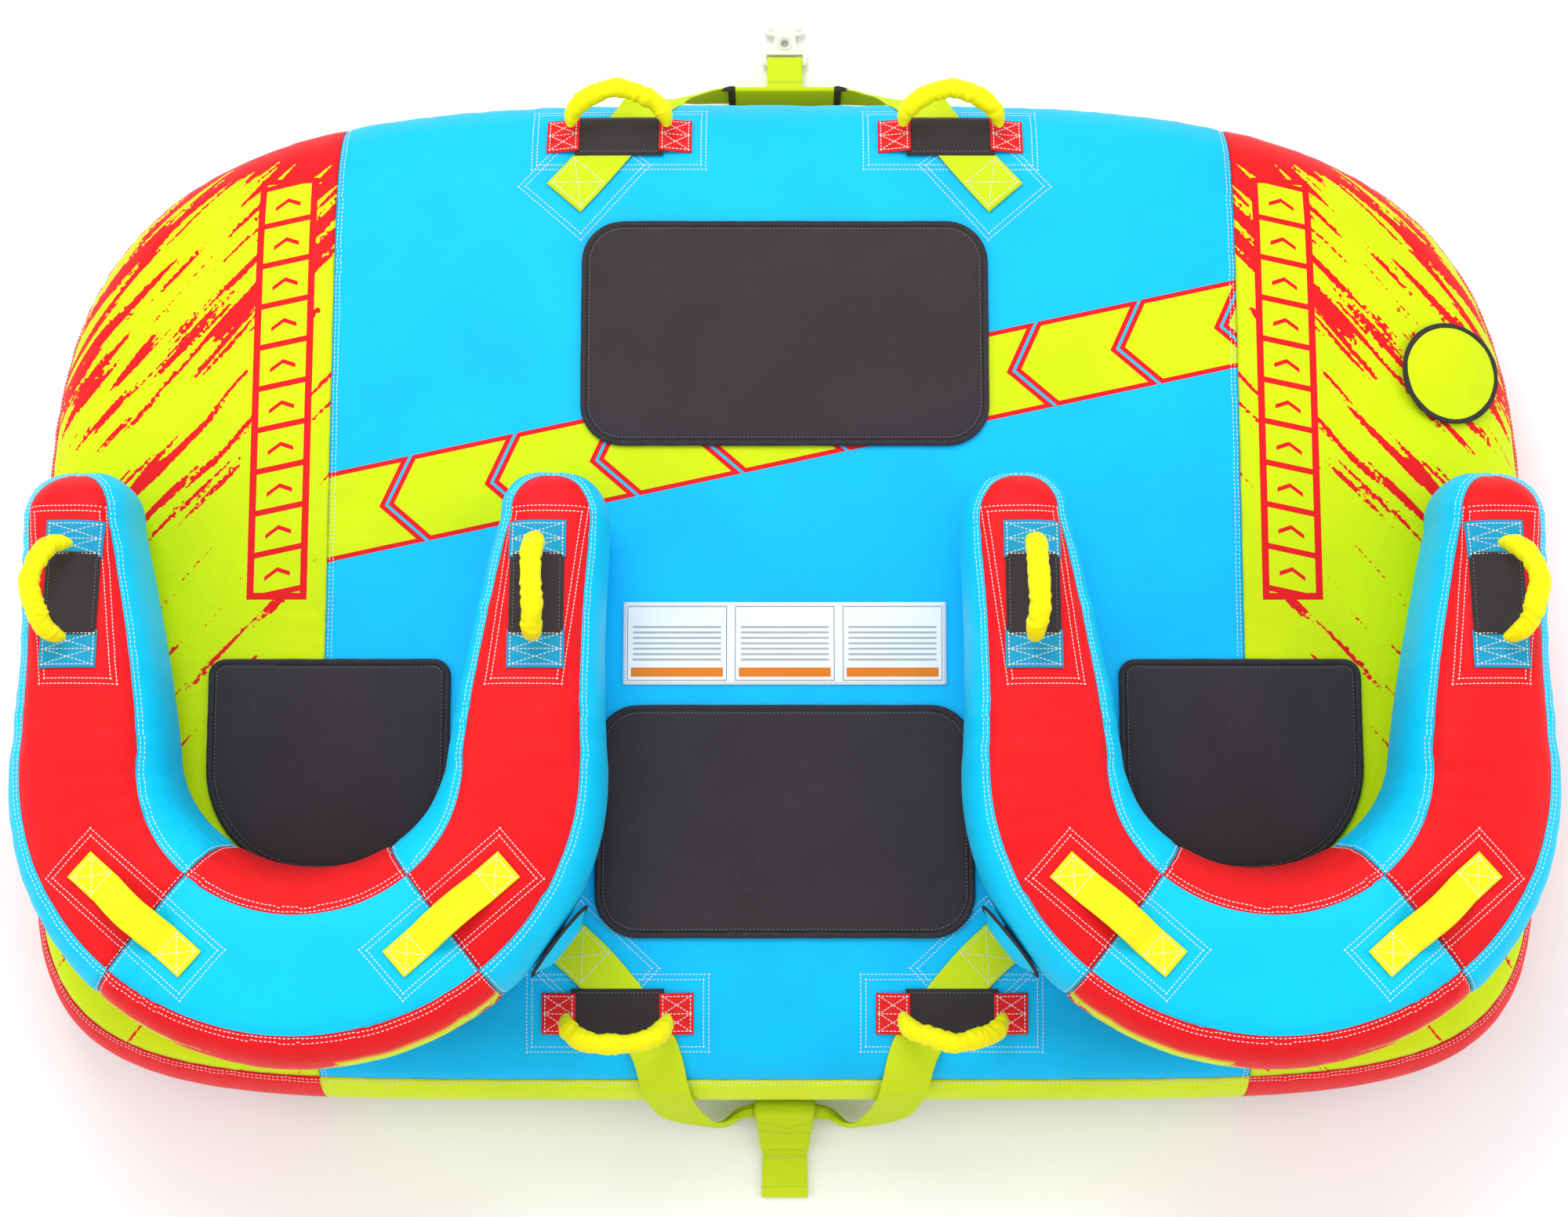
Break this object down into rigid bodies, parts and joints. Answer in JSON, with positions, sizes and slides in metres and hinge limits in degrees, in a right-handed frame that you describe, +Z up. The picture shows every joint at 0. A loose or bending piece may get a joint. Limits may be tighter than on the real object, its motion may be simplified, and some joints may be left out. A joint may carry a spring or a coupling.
{
  "type": "towable tube",
  "caption": "Wide inflatable towable deck with two horseshoe cockpits, webbing handles, neoprene pads, inflation valves and a webbing tow harness at each end.",
  "frame": {"origin": "middle of the footprint, tow pieces included, on the ground under the deck", "axes": "+Z up, +Y towards the front tow point, +X to the right seen from above with the front ahead"},
  "size_m": [2.3778, 1.968, 0.6388],
  "materials": {
    "deck_fabric": "coated polyester, light blue",
    "printed_fabric": "coated polyester, lime with red brush marks",
    "lime_fabric": "coated polyester, lime",
    "red_fabric": "coated polyester, red",
    "cockpit_fabric": "coated polyester, red crown and light blue walls",
    "underside_fabric": "heavy coated polyester, charcoal",
    "bladder_pvc": "smooth welded vinyl",
    "neoprene": "textured neoprene foam",
    "label_fabric": "sewn white label cloth",
    "valve_plastic": "moulded, satin",
    "flap_lime": "bound cover flap, lime",
    "flap_blue": "bound cover flap, light blue",
    "grip_fabric": "padded sleeve, yellow",
    "patch_red": "webbing patches with a charcoal guard",
    "patch_teal": "webbing patches with a charcoal guard",
    "strap_webbing": "flat nylon webbing, yellow",
    "tow_webbing": "flat nylon webbing, lime",
    "connector_plastic": "moulded nylon, translucent white",
    "zipper": "moulded coil and woven tape"
  },
  "bodies": {
    "tube": {"deck_bladder": "bladder_pvc", "deck_top_center": "deck_fabric", "deck_top_left": "printed_fabric", "deck_top_right": "printed_fabric", "deck_band_front": "lime_fabric", "deck_band_rear": "lime_fabric", "deck_band_left": "red_fabric", "deck_band_right": "red_fabric", "deck_bottom": "underside_fabric", "deck_zipper": "zipper", "pad_front": "neoprene", "pad_rear": "neoprene", "pad_left": "neoprene", "pad_right": "neoprene", "label_patch": "label_fabric", "main_valve_body": "valve_plastic", "front_tow_bridle": "tow_webbing", "front_tow_sleeve": "tow_webbing", "rear_tow_bridle": "tow_webbing", "cockpit_left_bladder": "bladder_pvc", "cockpit_left_cover_outboard_arm": "cockpit_fabric", "cockpit_left_cover_inboard_arm": "cockpit_fabric", "cockpit_left_cover_back": "cockpit_fabric", "cockpit_left_valve_body": "valve_plastic", "left_outboard_boarding_strap": "strap_webbing", "left_outboard_handle_base": "patch_teal", "left_inboard_boarding_strap": "strap_webbing", "left_inboard_handle_base": "patch_teal", "front_left_handle_base": "patch_red", "rear_left_handle_base": "patch_red", "cockpit_right_bladder": "bladder_pvc", "cockpit_right_cover_outboard_arm": "cockpit_fabric", "cockpit_right_cover_inboard_arm": "cockpit_fabric", "cockpit_right_cover_back": "cockpit_fabric", "cockpit_right_valve_body": "valve_plastic", "right_outboard_boarding_strap": "strap_webbing", "right_outboard_handle_base": "patch_teal", "right_inboard_boarding_strap": "strap_webbing", "right_inboard_handle_base": "patch_teal", "front_right_handle_base": "patch_red", "rear_right_handle_base": "patch_red"},
    "cockpit_left_valve_cap": {"cockpit_left_valve_cap": "valve_plastic"},
    "cockpit_right_valve_cap": {"cockpit_right_valve_cap": "valve_plastic"},
    "main_valve_cap": {"main_valve_cap": "valve_plastic"},
    "cockpit_left_valve_flap": {"cockpit_left_valve_flap": "flap_blue"},
    "cockpit_right_valve_flap": {"cockpit_right_valve_flap": "flap_blue"},
    "main_valve_flap": {"main_valve_flap": "flap_lime"},
    "front_left_grip": {"front_left_grip": "grip_fabric"},
    "front_right_grip": {"front_right_grip": "grip_fabric"},
    "rear_left_grip": {"rear_left_grip": "grip_fabric"},
    "rear_right_grip": {"rear_right_grip": "grip_fabric"},
    "left_outboard_grip": {"left_outboard_grip": "grip_fabric"},
    "right_outboard_grip": {"right_outboard_grip": "grip_fabric"},
    "left_inboard_grip": {"left_inboard_grip": "grip_fabric"},
    "right_inboard_grip": {"right_inboard_grip": "grip_fabric"},
    "zipper_slider": {"zipper_slider": "zipper"},
    "front_tow_loop": {"front_tow_loop": "tow_webbing"},
    "quick_connector": {"quick_connector": "connector_plastic"},
    "rear_tow_loop": {"rear_tow_loop": "tow_webbing"}
  },
  "joints": [
    {"name": "cockpit_left_valve_cap_twist", "type": "hinge", "parent": "tube", "child": "cockpit_left_valve_cap", "pos_m": [-0.33847, -0.57702, 0.42364], "axis": [0.7886, -0.6149, 0], "range_deg": [0, 90]},
    {"name": "cockpit_right_valve_cap_twist", "type": "hinge", "parent": "tube", "child": "cockpit_right_valve_cap", "pos_m": [0.33847, -0.57702, 0.42364], "axis": [-0.7886, -0.6149, 0], "range_deg": [0, 90]},
    {"name": "main_valve_cap_twist", "type": "hinge", "parent": "tube", "child": "main_valve_cap", "pos_m": [1.051, 0.312, 0.27114], "axis": [0.2406, 0.057, 0.969], "range_deg": [0, 90]},
    {"name": "cockpit_left_valve_flap_lift", "type": "hinge", "parent": "tube", "child": "cockpit_left_valve_flap", "pos_m": [-0.33255, -0.58163, 0.48564], "axis": [-0.6149, -0.7886, 0], "range_deg": [0, 150]},
    {"name": "cockpit_right_valve_flap_lift", "type": "hinge", "parent": "tube", "child": "cockpit_right_valve_flap", "pos_m": [0.33255, -0.58163, 0.48564], "axis": [-0.6149, 0.7886, 0], "range_deg": [0, 150]},
    {"name": "main_valve_flap_lift", "type": "hinge", "parent": "tube", "child": "main_valve_flap", "pos_m": [0.9771, 0.31243, 0.29721], "axis": [0.0137, -0.9984, 0.0553], "range_deg": [0, 150]},
    {"name": "front_left_grip_flop", "type": "hinge", "parent": "tube", "child": "front_left_grip", "pos_m": [-0.26514, 0.70927, 0.29251], "axis": [1, 0.0021, 0.006], "range_deg": [-50, 100]},
    {"name": "front_right_grip_flop", "type": "hinge", "parent": "tube", "child": "front_right_grip", "pos_m": [0.26514, 0.70927, 0.29251], "axis": [1, -0.0021, -0.006], "range_deg": [-50, 100]},
    {"name": "rear_left_grip_flop", "type": "hinge", "parent": "tube", "child": "rear_left_grip", "pos_m": [-0.255, -0.69026, 0.30743], "axis": [1, 0, 0], "range_deg": [-105, 45]},
    {"name": "rear_right_grip_flop", "type": "hinge", "parent": "tube", "child": "rear_right_grip", "pos_m": [0.255, -0.69026, 0.30743], "axis": [1, 0, 0], "range_deg": [-105, 45]},
    {"name": "left_outboard_grip_flop", "type": "hinge", "parent": "tube", "child": "left_outboard_grip", "pos_m": [-1.04597, -0.07556, 0.54968], "axis": [0, -0.9963, 0.0858], "range_deg": [-110, 40]},
    {"name": "right_outboard_grip_flop", "type": "hinge", "parent": "tube", "child": "right_outboard_grip", "pos_m": [1.04597, -0.07556, 0.54968], "axis": [0, 0.9963, -0.0858], "range_deg": [-110, 40]},
    {"name": "left_inboard_grip_flop", "type": "hinge", "parent": "tube", "child": "left_inboard_grip", "pos_m": [-0.36403, -0.07556, 0.54968], "axis": [0, -0.9963, 0.0858], "range_deg": [-75, 75]},
    {"name": "right_inboard_grip_flop", "type": "hinge", "parent": "tube", "child": "right_inboard_grip", "pos_m": [0.36403, -0.07556, 0.54968], "axis": [0, 0.9963, -0.0858], "range_deg": [-75, 75]},
    {"name": "zipper_slide", "type": "slide", "parent": "tube", "child": "zipper_slider", "axis": [1, 0, 0], "range_m": [0, 1]},
    {"name": "front_loop_swing", "type": "hinge", "parent": "tube", "child": "front_tow_loop", "pos_m": [0, 0.86, 0.0415], "axis": [1, 0, 0], "range_deg": [0, 60]},
    {"name": "connector_swing", "type": "hinge", "parent": "front_tow_loop", "child": "quick_connector", "pos_m": [0, 0.916, 0.0125], "axis": [1, 0, 0], "range_deg": [-30, 90]},
    {"name": "rear_loop_swing", "type": "hinge", "parent": "tube", "child": "rear_tow_loop", "pos_m": [0, -0.846, 0.0215], "axis": [-1, 0, 0], "range_deg": [0, 80]}
  ]
}
